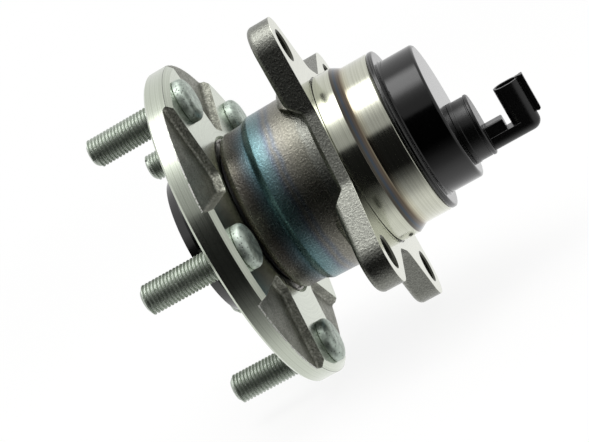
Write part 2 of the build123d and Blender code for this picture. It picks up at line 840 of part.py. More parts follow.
# Sensor body: one moulding with a disc inside the cap, the knob outside it, and the connector
connector_length = socket_end_y - socket_start_y
latch_plate_y = socket_end_y + latch_web_height
with BuildPart() as sensor_body:
    with BuildSketch(Plane.XY.offset(-arm_bottom)):
        with Locations((0, socket_centre_y)):
            SlotOverall(connector_length, connector_width, rotation=90)
    extrude(amount=arm_bottom - socket_mouth)
    with BuildSketch(Plane.XY.offset(-arm_bottom)):
        with Locations((0, (cap_end_y + socket_centre_y) / 2)):
            Rectangle(connector_width, socket_centre_y - cap_end_y)
    extrude(amount=arm_bottom - arm_top)
    under_edges = sensor_body.faces().sort_by(Axis.Z)[0].edges()
    fillet(under_edges.sort_by(Axis.Y)[1:], arm_bottom_round)
    with BuildSketch(Plane.XY.offset(-arm_top)):
        with Locations((0, (cap_end_y + block_end_y) / 2)):
            Rectangle(block_width, block_end_y - cap_end_y)
    extrude(amount=arm_top - block_top)
    block_faces = sensor_body.faces().filter_by(Axis.Z)
    block_faces = block_faces.filter_by(lambda face: abs(face.center().Z + block_top) < same_size)
    fillet(block_faces.edges(), block_round)
    with BuildSketch(Plane.YZ):
        with BuildLine():
            Polyline(
                (socket_end_y - socket_wall, -latch_top),
                (latch_plate_y, -latch_top),
                (latch_plate_y, -latch_bottom),
                (socket_end_y - socket_wall, -latch_bottom),
                close=True,
            )
        make_face()
    extrude(amount=latch_web_width / 2, both=True)
    with BuildSketch(Plane.YZ):
        with BuildLine():
            Polyline(
                (latch_plate_y, -latch_top),
                (socket_end_y + latch_height, -latch_top),
                (socket_end_y + latch_height, -latch_bottom + latch_slant),
                (socket_end_y + latch_height - latch_slant, -latch_bottom),
                (latch_plate_y, -latch_bottom),
                close=True,
            )
        make_face()
    extrude(amount=latch_width / 2, both=True)
    with BuildSketch(Plane.XY.offset(-socket_mouth)):
        with Locations((0, socket_centre_y)):
            SlotOverall(connector_length - 2 * socket_wall, connector_width - 2 * socket_wall, rotation=90)
    extrude(amount=-socket_depth, mode=Mode.SUBTRACT)
    with BuildSketch(Plane.XY.offset(-knob_offset)):
        with BuildLine():
            foot_y = cap_end_y + knob_foot_height
            groove_y = knob_end_y - knob_plate_thickness - knob_groove_width
            Polyline(
                (0, disc_y),
                (inner_disc_radius, disc_y),
                (inner_disc_radius, cap_inner_y),
                (cap_hole_radius, cap_inner_y),
                (cap_hole_radius, cap_end_y),
                (knob_radius, cap_end_y),
                (knob_radius, foot_y),
                (knob_radius - knob_foot_step, foot_y),
                (knob_radius - knob_foot_step, groove_y),
                (knob_radius - knob_groove_depth, groove_y),
                (knob_radius - knob_groove_depth, groove_y + knob_groove_width),
                (knob_radius, groove_y + knob_groove_width),
                (knob_radius, knob_end_y - knob_edge_round),
                (knob_radius - knob_edge_round, knob_end_y),
                (0, knob_end_y),
                close=True,
            )
        make_face()
    revolve(axis=Axis((0, 0, -knob_offset), (0, 1, 0)))
    with BuildSketch(across_axis(prong_tip_y)):
        with Locations((0, -prong_centre)):
            Rectangle(prong_width, prong_outer_radius - prong_inner_radius)
    extrude(amount=prong_tip_y - cap_inner_y)
    add(terminal_pins.part, mode=Mode.SUBTRACT)
    add(sensor_chip.part, mode=Mode.SUBTRACT)
save(sensor_body, "sensor_body")
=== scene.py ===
import math

import bmesh
import bpy
from mathutils import Matrix, Vector


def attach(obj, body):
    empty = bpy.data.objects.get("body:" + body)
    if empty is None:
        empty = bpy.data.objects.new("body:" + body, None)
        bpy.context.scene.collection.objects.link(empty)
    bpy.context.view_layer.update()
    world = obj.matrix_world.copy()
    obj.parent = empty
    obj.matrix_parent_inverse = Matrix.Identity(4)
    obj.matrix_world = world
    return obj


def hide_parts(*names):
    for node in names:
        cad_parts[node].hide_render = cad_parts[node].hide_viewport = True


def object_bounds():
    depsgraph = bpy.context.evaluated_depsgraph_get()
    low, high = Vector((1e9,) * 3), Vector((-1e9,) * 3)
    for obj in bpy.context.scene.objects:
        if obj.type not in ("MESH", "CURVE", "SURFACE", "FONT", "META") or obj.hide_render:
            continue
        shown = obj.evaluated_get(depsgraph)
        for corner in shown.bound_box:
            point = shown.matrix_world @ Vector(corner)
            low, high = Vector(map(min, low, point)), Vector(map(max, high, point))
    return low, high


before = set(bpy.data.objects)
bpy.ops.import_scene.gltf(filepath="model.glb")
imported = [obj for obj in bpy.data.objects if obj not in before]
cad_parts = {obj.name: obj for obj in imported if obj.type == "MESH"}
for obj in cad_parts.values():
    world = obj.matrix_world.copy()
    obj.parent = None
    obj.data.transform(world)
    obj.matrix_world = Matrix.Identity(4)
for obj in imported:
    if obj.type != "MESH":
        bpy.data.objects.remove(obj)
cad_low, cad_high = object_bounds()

MM = 0.001
scene = bpy.context.scene
scene.view_settings.view_transform = "Standard"


# Camera
# The photograph is taken with a long lens from beside the knuckle plate, a little to the sensor's
# side, with the unit tipped so that its spin axis climbs to the right.
camera_place = Vector((642.4, 154.4, 127.4)) * MM
camera_right = Vector((-0.06975, 0.85646, -0.51148))
camera_up = Vector((-0.27663, 0.47601, 0.83480))
camera_back = camera_right.cross(camera_up)
camera_turn = Matrix((camera_right, camera_up, camera_back)).transposed()
camera_data = bpy.data.cameras.new("photo_camera")
camera_data.lens = 103.2
camera_data.sensor_width = 36.0
camera_data.clip_start = 0.01
camera = bpy.data.objects.new("photo_camera", camera_data)
camera.matrix_world = Matrix.Translation(camera_place) @ camera_turn.to_4x4()
scene.collection.objects.link(camera)
scene.camera = camera


# Studio
# A light tent standing on a white table. A large softbox hangs over the object, the white sides
# light it from behind and below, and the camera's opening is left dark, which draws the dark bands
# along the bright cylinders.
def linear(code):
    """A linear colour from an sRGB hex code."""
    parts = [int(code[i:i + 2], 16) / 255 for i in (1, 3, 5)]
    return (*[p / 12.92 if p <= 0.04045 else ((p + 0.055) / 1.055) ** 2.4 for p in parts], 1.0)


def add(tree, kind, inputs=(), stops=(), **settings):
    """Adds a node, sets its settings and ramp stops, and gives each input a value or a link."""
    made = tree.nodes.new(kind)
    for name, value in settings.items():
        setattr(made, name, value)
    for _ in range(len(stops) - 2):
        made.color_ramp.elements.new(0.5)
    for index, (position, colour) in enumerate(stops):
        made.color_ramp.elements[index].position = position
        made.color_ramp.elements[index].color = colour
    for key, value in dict(inputs).items():
        if isinstance(value, bpy.types.NodeSocket):
            tree.links.new(value, made.inputs[key])
        else:
            made.inputs[key].default_value = value
    return made


# Each level is the brightness seen from the spin axis at that angle, counted from +Z towards +X.
# Towards the sensor's end of the axis the tent is evenly white.
tent_levels = (
    (-180, 0.93), (-160, 0.95), (-138, 1.05), (-120, 1.1), (-102, 1.05), (-80, 0.92), (-20, 0.9),
    (28, 0.95), (36, 0.6), (43, 0.48), (57, 0.46), (62, 0.012), (114, 0.008), (126, 0.09),
    (138, 0.27), (150, 0.45), (162, 0.77), (174, 0.93), (180, 0.93),
)
tent_top = 1.5
end_shift = 0.15
end_start = 0.5
end_full = 0.9
end_level = 0.7
world = bpy.data.worlds.new("light_tent")
scene.world = world
world.use_nodes = True
tree = world.node_tree
tree.nodes.clear()
direction = add(tree, "ShaderNodeTexCoord").outputs["Generated"]
way = add(tree, "ShaderNodeSeparateXYZ", {0: direction}).outputs
turn = add(tree, "ShaderNodeMath", {0: way["X"], 1: way["Z"]}, operation="ARCTAN2").outputs[0]
share = add(
    tree, "ShaderNodeMapRange", {"Value": turn, "From Min": -math.pi, "From Max": math.pi},
).outputs[0]
tent_stops = []
for angle, level in tent_levels:
    tent_stops.append(((angle + 180) / 360, (level / tent_top,) * 3 + (1.0,)))
tent = add(tree, "ShaderNodeValToRGB", {0: share}, stops=tent_stops).outputs[0]
sides = add(tree, "ShaderNodeMath", {0: tent, 1: tent_top}, operation="MULTIPLY").outputs[0]
off_middle = add(tree, "ShaderNodeMath", {0: way["Y"], 1: end_shift}).outputs[0]
end_share = add(
    tree, "ShaderNodeMapRange", {"Value": off_middle, "From Min": end_start, "From Max": end_full},
    interpolation_type="SMOOTHSTEP",
).outputs[0]
lit = add(tree, "ShaderNodeMix", {0: end_share, 2: sides, 3: end_level}).outputs[0]
seen = add(tree, "ShaderNodeLightPath").outputs["Is Camera Ray"]
strength = add(tree, "ShaderNodeMix", {0: seen, 2: lit, 3: 1.0}).outputs[0]
light = add(tree, "ShaderNodeBackground", {"Color": (1, 1, 1, 1), "Strength": strength}).outputs[0]
add(tree, "ShaderNodeOutputWorld", {"Surface": light})

# The softbox is brightest in its middle and fades towards its edges, as its cloth does.
softbox_width = 0.75
softbox_length = 1.30
softbox_height = 0.80
softbox_lean = math.radians(5)
softbox_level = 3.3
softbox = bpy.data.lights.new("overhead_softbox", "AREA")
softbox.shape = "RECTANGLE"
softbox.size = softbox_width
softbox.size_y = softbox_length
softbox.energy = softbox_level * math.pi * softbox_width * softbox_length
softbox.use_nodes = True
tree = softbox.node_tree
tree.nodes.clear()
cloth = add(tree, "ShaderNodeNewGeometry").outputs["Parametric"]
centred = add(
    tree, "ShaderNodeVectorMath", {0: cloth, 1: (0.5, 0.5, 0.0)}, operation="SUBTRACT",
).outputs[0]
folded = add(tree, "ShaderNodeVectorMath", {0: centred}, operation="ABSOLUTE").outputs[0]
from_middle = add(tree, "ShaderNodeSeparateXYZ", {0: folded}).outputs
fade = {"From Min": 0.12, "From Max": 0.5, "To Min": 1.0, "To Max": 0.0}
across = add(
    tree, "ShaderNodeMapRange", {"Value": from_middle["X"], **fade}, interpolation_type="SMOOTHSTEP",
).outputs[0]
lengthways = add(
    tree, "ShaderNodeMapRange", {"Value": from_middle["Y"], **fade}, interpolation_type="SMOOTHSTEP",
).outputs[0]
both = add(tree, "ShaderNodeMath", {0: across, 1: lengthways}, operation="MULTIPLY").outputs[0]
glow = add(tree, "ShaderNodeEmission", {"Strength": both}).outputs[0]
add(tree, "ShaderNodeOutputLight", {"Surface": glow})
softbox_holder = bpy.data.objects.new("overhead_softbox", softbox)
object_centre = (cad_low + cad_high) / 2
to_softbox = Vector((math.sin(softbox_lean), 0, math.cos(softbox_lean)))
softbox_holder.location = object_centre + softbox_height * to_softbox
softbox_holder.rotation_euler = (0, softbox_lean, 0)
scene.collection.objects.link(softbox_holder)

# The table is seen by the camera alone, with the object's shadow left faint on it. To the metal it
# is clear, so that what shows there is the tent's white.
table_material = bpy.data.materials.new("white_paper")
table_material.use_nodes = True
tree = table_material.node_tree
tree.nodes.clear()
spot = add(tree, "ShaderNodeTexCoord").outputs["Object"]
reach = add(tree, "ShaderNodeVectorMath", {0: spot}, operation="LENGTH").outputs["Value"]
washed = add(
    tree, "ShaderNodeMapRange",
    {"Value": reach, "From Min": 0.25, "From Max": 0.9, "To Min": 0.88, "To Max": 1.0},
).outputs[0]
paper = add(tree, "ShaderNodeBsdfDiffuse", {"Color": linear("#f6f6f4")}).outputs[0]
white = add(tree, "ShaderNodeEmission", {"Color": (1, 1, 1, 1), "Strength": 1.0}).outputs[0]
clear = add(tree, "ShaderNodeBsdfTransparent").outputs[0]
seen = add(tree, "ShaderNodeLightPath").outputs["Is Camera Ray"]
sheet = add(tree, "ShaderNodeMixShader", {0: washed, 1: paper, 2: white}).outputs[0]
shown = add(tree, "ShaderNodeMixShader", {0: seen, 1: clear, 2: sheet}).outputs[0]
add(tree, "ShaderNodeOutputMaterial", {"Surface": shown})
table_half = 4.0
table_z = cad_low.z - 0.0005
corners = (
    (-table_half, -table_half), (table_half, -table_half),
    (table_half, table_half), (-table_half, table_half),
)
table_mesh = bpy.data.meshes.new("table")
table_mesh.from_pydata([(x, y, table_z) for x, y in corners], [], [(0, 1, 2, 3)])
table_mesh.materials.append(table_material)
table = bpy.data.objects.new("table", table_mesh)
scene.collection.objects.link(table)


# Wheel hub
# A steel forging: the five pockets keep their shot-blasted skin, while the bosses, the rim and the
# wheel's face are turned bright, the spindle is ground and the pilot is dipped in black paint.
def start_finish(name):
    """A new material with an empty tree."""
    made = bpy.data.materials.new(name)
    made.use_nodes = True
    made.node_tree.nodes.clear()
    return made, made.node_tree


def from_axis(tree, place):
    """A point's place along the spin axis, and its arm from that axis."""
    along = add(tree, "ShaderNodeSeparateXYZ", {0: place}).outputs["Y"]
    arm = add(tree, "ShaderNodeVectorMath", {0: place, 1: (1, 0, 1)}, operation="MULTIPLY").outputs[0]
    return along, arm


def noise_span(value, low, high):
    """Map Range inputs that spread a noise, which keeps to about 0.3 to 0.7, from low to high."""
    return {"Value": value, "From Min": 0.3, "From Max": 0.7, "To Min": low, "To Max": high}


def end_finish(tree, surface):
    """Ends a material's tree with a surface that has these inputs."""
    shader = add(tree, "ShaderNodeBsdfPrincipled", surface).outputs[0]
    add(tree, "ShaderNodeOutputMaterial", {"Surface": shader})


def wear(material, *nodes):
    """Gives CAD nodes this material alone."""
    for node in nodes:
        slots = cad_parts[node].data.materials
        slots.clear()
        slots.append(material)


# Turned steel gives a soft mirror with rings in it, the forged skin a dull grey with a dark grain.
# Real turning marks are 0.1 mm apart and are drawn at 0.5 mm, and the shot-blast grain of 0.3 mm is
# drawn at 0.8 mm.
pocket_inner = 36.0 * MM
pocket_outer = 69.3 * MM
pocket_floor = 6.5 * MM
boss_face = 10.72 * MM
strip_inner = 66.9 * MM
boss_count = 5
first_boss_angle = math.radians(14.4)
pocket_width_cosine = 0.13
burr_place = 7.05 * MM
burr_half = 0.3 * MM
rim_reach = 69.1 * MM
rim_corner_place = 8.85 * MM
rim_corner_half = 0.12 * MM
pilot_reach = 32.1 * MM
pilot_start = -0.2 * MM
paint_gloss = 0.16
turning_depth = 0.0016 * MM
blast_depth = 0.18 * MM
blast_grain = 0.8 * MM
skin_patch = 5.88 * MM
turning_mark = 0.5 * MM
burr_chip = 1.43 * MM
hub_forging, tree = start_finish("forged_and_turned_steel")
places = add(tree, "ShaderNodeTexCoord").outputs
place = places["Object"]
along, arm = from_axis(tree, place)
radius = add(tree, "ShaderNodeVectorMath", {0: arm}, operation="LENGTH").outputs["Value"]
outwards = add(tree, "ShaderNodeVectorMath", {0: arm}, operation="NORMALIZE").outputs[0]
lean = add(
    tree, "ShaderNodeVectorMath", {0: places["Normal"], 1: outwards}, operation="DOT_PRODUCT",
).outputs["Value"]
# The skin lies between the pockets' floors and the bosses' faces, less a turned strip that runs
# round the rim and leans outwards.
past_inner = add(
    tree, "ShaderNodeMath", {0: radius, 1: pocket_inner}, operation="GREATER_THAN",
).outputs[0]
short_of_rim = add(
    tree, "ShaderNodeMath", {0: radius, 1: pocket_outer}, operation="LESS_THAN",
).outputs[0]
above_floor = add(
    tree, "ShaderNodeMath", {0: along, 1: pocket_floor}, operation="GREATER_THAN",
).outputs[0]
below_boss = add(tree, "ShaderNodeMath", {0: along, 1: boss_face}, operation="LESS_THAN").outputs[0]
on_strip = add(tree, "ShaderNodeMath", {0: radius, 1: strip_inner}, operation="GREATER_THAN").outputs[0]
leaning = add(tree, "ShaderNodeMath", {0: lean, 1: 0.5}, operation="GREATER_THAN").outputs[0]
strip = add(tree, "ShaderNodeMath", {0: on_strip, 1: leaning}, operation="MULTIPLY").outputs[0]
ring_zone = add(
    tree, "ShaderNodeMath", {0: past_inner, 1: short_of_rim}, operation="MULTIPLY",
).outputs[0]
depth_zone = add(
    tree, "ShaderNodeMath", {0: above_floor, 1: below_boss}, operation="MULTIPLY",
).outputs[0]
pocket_zone = add(tree, "ShaderNodeMath", {0: ring_zone, 1: depth_zone}, operation="MULTIPLY").outputs[0]
forged = add(
    tree, "ShaderNodeMath", {0: pocket_zone, 1: strip}, operation="SUBTRACT", use_clamp=True,
).outputs[0]
pilot_zone = add(tree, "ShaderNodeMath", {0: radius, 1: pilot_reach}, operation="LESS_THAN").outputs[0]
outboard = add(tree, "ShaderNodeMath", {0: along, 1: pilot_start}, operation="LESS_THAN").outputs[0]
painted = add(tree, "ShaderNodeMath", {0: pilot_zone, 1: outboard}, operation="MULTIPLY").outputs[0]

grain = add(
    tree, "ShaderNodeTexNoise", {"Vector": place, "Scale": 1 / blast_grain, "Detail": 3.0, "Roughness": 0.6},
).outputs["Fac"]
patches = add(
    tree, "ShaderNodeTexNoise",
    {"Vector": place, "Scale": 1 / skin_patch, "Detail": 4.0, "Roughness": 0.55},
).outputs["Fac"]
skin_mix = add(tree, "ShaderNodeMix", {0: 0.35, 2: grain, 3: patches}).outputs[0]
skin_stops = ((0.36, linear("#5e5f57")), (0.50, linear("#83847a")), (0.66, linear("#b0b1a5")))
skin = add(tree, "ShaderNodeValToRGB", {0: skin_mix}, stops=skin_stops).outputs[0]
turning = add(tree, "ShaderNodeCombineXYZ", {0: radius, 1: along}).outputs[0]
marks = add(
    tree, "ShaderNodeTexNoise", {"Vector": turning, "Scale": 1 / turning_mark, "Detail": 2.0},
    noise_dimensions="2D",
).outputs["Fac"]
bright_stops = ((0.3, linear("#b9bfb1")), (0.7, linear("#c9cfc1")))
bright = add(tree, "ShaderNodeValToRGB", {0: marks}, stops=bright_stops).outputs[0]
# A fine dark line of painted shade is drawn where the rim's cylinder ends, the shade a scored groove would
# hold; the groove itself is not modelled.
at_corner = add(
    tree, "ShaderNodeMath", {0: along, 1: rim_corner_place, 2: rim_corner_half}, operation="COMPARE",
).outputs[0]
on_rim = add(tree, "ShaderNodeMath", {0: radius, 1: rim_reach}, operation="GREATER_THAN").outputs[0]
cornered = add(tree, "ShaderNodeMath", {0: at_corner, 1: on_rim}, operation="MULTIPLY").outputs[0]
corner_line_painted_shade = add(
    tree, "ShaderNodeMix", {0: cornered, 6: bright, 7: linear("#6f716a")}, data_type="RGBA",
).outputs[2]
# A chipped burr runs where each pocket's floor breaks out through the rim, between two bosses, and its
# brightness is a painted glint.
arm_parts = add(tree, "ShaderNodeSeparateXYZ", {0: arm}).outputs
turn = add(
    tree, "ShaderNodeMath", {0: arm_parts["X"], 1: arm_parts["Z"]}, operation="ARCTAN2",
).outputs[0]
fivefold = add(
    tree, "ShaderNodeMath", {0: turn, 1: boss_count, 2: -boss_count * first_boss_angle},
    operation="MULTIPLY_ADD",
).outputs[0]
wave = add(tree, "ShaderNodeMath", {0: fivefold}, operation="COSINE").outputs[0]
between = add(
    tree, "ShaderNodeMath", {0: wave, 1: pocket_width_cosine}, operation="LESS_THAN",
).outputs[0]
at_edge = add(
    tree, "ShaderNodeMath", {0: along, 1: burr_place, 2: burr_half}, operation="COMPARE",
).outputs[0]
rim_edge = add(tree, "ShaderNodeMath", {0: at_edge, 1: on_rim}, operation="MULTIPLY").outputs[0]
chips = add(
    tree, "ShaderNodeTexNoise", {"Vector": place, "Scale": 1 / burr_chip, "Detail": 2.0},
).outputs["Fac"]
chipped = add(tree, "ShaderNodeMath", {0: chips, 1: 0.44}, operation="GREATER_THAN").outputs[0]
edge_zone = add(tree, "ShaderNodeMath", {0: rim_edge, 1: between}, operation="MULTIPLY").outputs[0]
burr_painted_glint = add(tree, "ShaderNodeMath", {0: edge_zone, 1: chipped}, operation="MULTIPLY").outputs[0]
worked = add(tree, "ShaderNodeMix", {0: forged, 6: corner_line_painted_shade, 7: skin}, data_type="RGBA").outputs[2]
metal = add(
    tree, "ShaderNodeMix", {0: burr_painted_glint, 6: worked, 7: linear("#e8e8e2")}, data_type="RGBA",
).outputs[2]
base = add(
    tree, "ShaderNodeMix", {0: painted, 6: metal, 7: linear("#060606")}, data_type="RGBA",
).outputs[2]
# The burr is drawn as a matt white, a painted glint that stays bright from every side.
matt = add(tree, "ShaderNodeMath", {0: painted, 1: burr_painted_glint}).outputs[0]
metallic = add(tree, "ShaderNodeMath", {0: 1.0, 1: matt}, operation="SUBTRACT").outputs[0]
turned_rough = add(tree, "ShaderNodeMapRange", noise_span(marks, 0.2, 0.26)).outputs[0]
forged_rough = add(tree, "ShaderNodeMapRange", noise_span(skin_mix, 0.55, 0.4)).outputs[0]
rough = add(tree, "ShaderNodeMix", {0: forged, 2: turned_rough, 3: forged_rough}).outputs[0]
gloss = add(tree, "ShaderNodeMix", {0: painted, 2: rough, 3: paint_gloss}).outputs[0]
turned_relief = add(
    tree, "ShaderNodeMath", {0: marks, 1: turning_depth}, operation="MULTIPLY",
).outputs[0]
forged_relief = add(tree, "ShaderNodeMath", {0: grain, 1: blast_depth}, operation="MULTIPLY").outputs[0]
relief = add(tree, "ShaderNodeMix", {0: forged, 2: turned_relief, 3: forged_relief}).outputs[0]
bump = add(tree, "ShaderNodeBump", {"Height": relief, "Strength": 1.0, "Distance": 1.0}).outputs[0]
surface = {"Base Color": base, "Metallic": metallic, "Roughness": gloss, "Normal": bump}
end_finish(tree, surface)
wear(hub_forging, "wheel_hub")


# Wheel studs
# Five cold-formed studs with rolled threads, zinc plated and pressed into the bosses from behind.
# The thread is a ridge swept along a spiral round a turned body, and both are set on the bolt
# circle together.
stud_circle = 57.15 * MM
stud_radius = 6.0 * MM
stud_core = 5.14 * MM
stud_pitch = 1.5 * MM
stud_tip = -31.1 * MM
stud_seat = 10.8 * MM
stud_head_radius = 9.0 * MM
stud_head_top = 15.3 * MM
stud_dome_top = 6.5 * MM
stud_dome_height = 2.3 * MM
stud_edge = 0.25 * MM
dome_bulge = 0.45 * MM
tip_chamfer = 0.9 * MM
stud_sides = 64
thread_end = -0.8 * MM
thread_root_share = 0.46
thread_crest_share = 0.08
thread_sink = 0.1 * MM
zinc_cloud = 2.38 * MM
zinc_dent = 1.25 * MM
# The outline runs from the head's middle over its dome and down the shank to the tip, as (radius,
# height), and is turned round +Z here and laid along the spin axis by the tree.
stud_outline = [
    (0.0, stud_head_top), (2.2 * MM, stud_head_top),
    (stud_dome_top - 0.4 * MM, stud_head_top - 0.02 * MM),
]
dome_steps = 8
for step in range(dome_steps + 1):
    swing = step / dome_steps
    bulge = dome_bulge * math.sin(math.pi * swing)
    stud_outline.append((
        stud_dome_top + (stud_head_radius - stud_dome_top) * swing + bulge,
        stud_head_top - 0.1 * MM - (stud_dome_height - 0.1 * MM) * swing + bulge * 0.6,
    ))
stud_outline += [
    (stud_head_radius, stud_seat + stud_edge), (stud_head_radius - stud_edge, stud_seat),
    (stud_radius, stud_seat), (stud_radius, -0.2 * MM), (stud_core, -1.0 * MM),
    (stud_core, stud_tip + tip_chamfer), (stud_core - tip_chamfer, stud_tip), (0.0, stud_tip),
]
body = bmesh.new()
rings = []
for ring_radius, height in stud_outline:
    if ring_radius == 0.0:
        rings.append([body.verts.new((0, 0, height))])
        continue
    ring = []
    for side in range(stud_sides):
        spoke = 2 * math.pi * side / stud_sides
        ring.append(
            body.verts.new((ring_radius * math.cos(spoke), ring_radius * math.sin(spoke), height)),
        )
    rings.append(ring)
for upper, lower in zip(rings, rings[1:]):
    for side in range(stud_sides):
        after = (side + 1) % stud_sides
        if len(upper) == 1:
            body.faces.new((upper[0], lower[side], lower[after]))
        elif len(lower) == 1:
            body.faces.new((upper[side], lower[0], upper[after]))
        else:
            body.faces.new((upper[side], lower[side], lower[after], upper[after]))
bmesh.ops.recalc_face_normals(body, faces=body.faces)
for face in body.faces:
    face.smooth = True
stud_mesh = bpy.data.meshes.new("stud_body")
body.to_mesh(stud_mesh)
body.free()
stud_mesh.set_sharp_from_angle(angle=math.radians(32))

# Zinc plate is a light cool grey that has gone uneven, with small dark dents on the heads, and the
# rolled threads are an even grey.
zinc, tree = start_finish("zinc_plated_steel")
place = add(tree, "ShaderNodeTexCoord").outputs["Object"]
along = add(tree, "ShaderNodeSeparateXYZ", {0: place}).outputs["Y"]
cloud = add(
    tree, "ShaderNodeTexNoise",
    {"Vector": place, "Scale": 1 / zinc_cloud, "Detail": 5.0, "Roughness": 0.6},
).outputs["Fac"]
cells = add(
    tree, "ShaderNodeTexVoronoi", {"Vector": place, "Scale": 1 / zinc_dent},
).outputs["Distance"]
dents = add(
    tree, "ShaderNodeMapRange", {"Value": cells, "From Min": 0.12, "From Max": 0.3},
    interpolation_type="SMOOTHSTEP",
).outputs[0]
plate_stops = ((0.36, linear("#97a198")), (0.5, linear("#b4bfb5")), (0.66, linear("#cdd8ce")))
even = add(tree, "ShaderNodeValToRGB", {0: cloud}, stops=plate_stops).outputs[0]
plate = add(
    tree, "ShaderNodeMix", {0: dents, 6: linear("#6b716b"), 7: even}, data_type="RGBA",
).outputs[2]
threaded = add(
    tree, "ShaderNodeMapRange", {"Value": along, "From Min": 0.0, "From Max": -1.0 * MM},
).outputs[0]
dulled = add(
    tree, "ShaderNodeMix", {0: threaded, 6: plate, 7: linear("#b3bab0")}, data_type="RGBA",
).outputs[2]
rough = add(tree, "ShaderNodeMapRange", noise_span(cloud, 0.4, 0.52)).outputs[0]
bump = add(tree, "ShaderNodeBump", {"Height": dents, "Strength": 0.6, "Distance": 0.12 * MM}).outputs[0]
surface = {"Base Color": dulled, "Metallic": 1.0, "Roughness": rough, "Normal": bump}
end_finish(tree, surface)

# The tree takes the stud's body and gives it its thread, lays it along the axis, and sets as many
# as asked for on the circle.
stud_tree = bpy.data.node_groups.new("studs_on_circle", "GeometryNodeTree")
stud_tree.interface.new_socket("Geometry", in_out="INPUT", socket_type="NodeSocketGeometry")
stud_tree.interface.new_socket("Geometry", in_out="OUTPUT", socket_type="NodeSocketGeometry")
stud_sizes = (
    ("Circle Radius", "NodeSocketFloat", stud_circle),
    ("First Angle", "NodeSocketFloat", first_boss_angle),
    ("Count", "NodeSocketInt", boss_count),
    ("Core Radius", "NodeSocketFloat", stud_core),
    ("Pitch", "NodeSocketFloat", stud_pitch),
    ("Thread Start", "NodeSocketFloat", stud_tip + 0.95 * MM),
    ("Thread End", "NodeSocketFloat", thread_end),
    ("Thread Depth", "NodeSocketFloat", stud_radius - stud_core),
    ("Finish", "NodeSocketMaterial", zinc),
)
stud_keys = {}
for name, kind, value in stud_sizes:
    socket = stud_tree.interface.new_socket(name, in_out="INPUT", socket_type=kind)
    stud_keys[name] = socket.identifier
given = add(stud_tree, "NodeGroupInput").outputs
length = add(
    stud_tree, "ShaderNodeMath", {0: given["Thread End"], 1: given["Thread Start"]},
    operation="SUBTRACT",
).outputs[0]
turns = add(stud_tree, "ShaderNodeMath", {0: length, 1: given["Pitch"]}, operation="DIVIDE").outputs[0]
spiral_inputs = {
    "Resolution": 48, "Rotations": turns, "Start Radius": given["Core Radius"],
    "End Radius": given["Core Radius"], "Height": length,
}
spiral = add(stud_tree, "GeometryNodeCurveSpiral", spiral_inputs).outputs[0]
upright = add(stud_tree, "GeometryNodeSetCurveNormal", {"Curve": spiral}, mode="Z_UP").outputs[0]
# The ridge is as wide as the pitch at its root, less a small flat, and a sixth of it at its crest.
# The spiral's normals point inwards, so its depth is counted backwards.
half_root = add(
    stud_tree, "ShaderNodeMath", {0: given["Pitch"], 1: thread_root_share}, operation="MULTIPLY",
).outputs[0]
half_crest = add(
    stud_tree, "ShaderNodeMath", {0: given["Pitch"], 1: thread_crest_share}, operation="MULTIPLY",
).outputs[0]
minus_root = add(stud_tree, "ShaderNodeMath", {0: half_root, 1: -1.0}, operation="MULTIPLY").outputs[0]
minus_crest = add(stud_tree, "ShaderNodeMath", {0: half_crest, 1: -1.0}, operation="MULTIPLY").outputs[0]
outwards = add(
    stud_tree, "ShaderNodeMath", {0: given["Thread Depth"], 1: -1.0}, operation="MULTIPLY",
).outputs[0]
point_one = add(stud_tree, "ShaderNodeCombineXYZ", {0: thread_sink, 1: half_root}).outputs[0]
point_two = add(stud_tree, "ShaderNodeCombineXYZ", {0: outwards, 1: half_crest}).outputs[0]
point_three = add(stud_tree, "ShaderNodeCombineXYZ", {0: outwards, 1: minus_crest}).outputs[0]
point_four = add(stud_tree, "ShaderNodeCombineXYZ", {0: thread_sink, 1: minus_root}).outputs[0]
ridge_inputs = {
    "Point 1": point_one, "Point 2": point_two, "Point 3": point_three, "Point 4": point_four,
}
ridge = add(stud_tree, "GeometryNodeCurvePrimitiveQuadrilateral", ridge_inputs, mode="POINTS").outputs[0]
thread_inputs = {"Curve": upright, "Profile Curve": ridge, "Fill Caps": True}
thread = add(stud_tree, "GeometryNodeCurveToMesh", thread_inputs).outputs[0]
lift = add(stud_tree, "ShaderNodeCombineXYZ", {2: given["Thread Start"]}).outputs[0]
raised = add(stud_tree, "GeometryNodeTransform", {"Geometry": thread, "Translation": lift}).outputs[0]
flat_thread = add(
    stud_tree, "GeometryNodeSetShadeSmooth", {"Geometry": raised, "Shade Smooth": False},
).outputs[0]
stud = add(stud_tree, "GeometryNodeJoinGeometry")
stud_tree.links.new(given["Geometry"], stud.inputs[0])
stud_tree.links.new(flat_thread, stud.inputs[0])
laid = add(
    stud_tree, "GeometryNodeTransform", {"Geometry": stud.outputs[0], "Rotation": (-math.pi / 2, 0, 0)},
).outputs[0]
points = add(stud_tree, "GeometryNodePoints", {"Count": given["Count"]}).outputs[0]
index = add(stud_tree, "GeometryNodeInputIndex").outputs[0]
step = add(
    stud_tree, "ShaderNodeMath", {0: 2 * math.pi, 1: given["Count"]}, operation="DIVIDE",
).outputs[0]
angle = add(
    stud_tree, "ShaderNodeMath", {0: index, 1: step, 2: given["First Angle"]}, operation="MULTIPLY_ADD",
).outputs[0]
outward = add(stud_tree, "ShaderNodeCombineXYZ", {2: given["Circle Radius"]}).outputs[0]
swing = add(stud_tree, "ShaderNodeCombineXYZ", {1: angle}).outputs[0]
seat = add(
    stud_tree, "ShaderNodeVectorRotate", {"Vector": outward, "Rotation": swing},
    rotation_type="EULER_XYZ",
).outputs[0]
seated = add(stud_tree, "GeometryNodeSetPosition", {"Geometry": points, "Position": seat}).outputs[0]
set_inputs = {"Points": seated, "Instance": laid, "Rotation": swing}
studs = add(stud_tree, "GeometryNodeInstanceOnPoints", set_inputs).outputs[0]
real = add(stud_tree, "GeometryNodeRealizeInstances", {"Geometry": studs}).outputs[0]
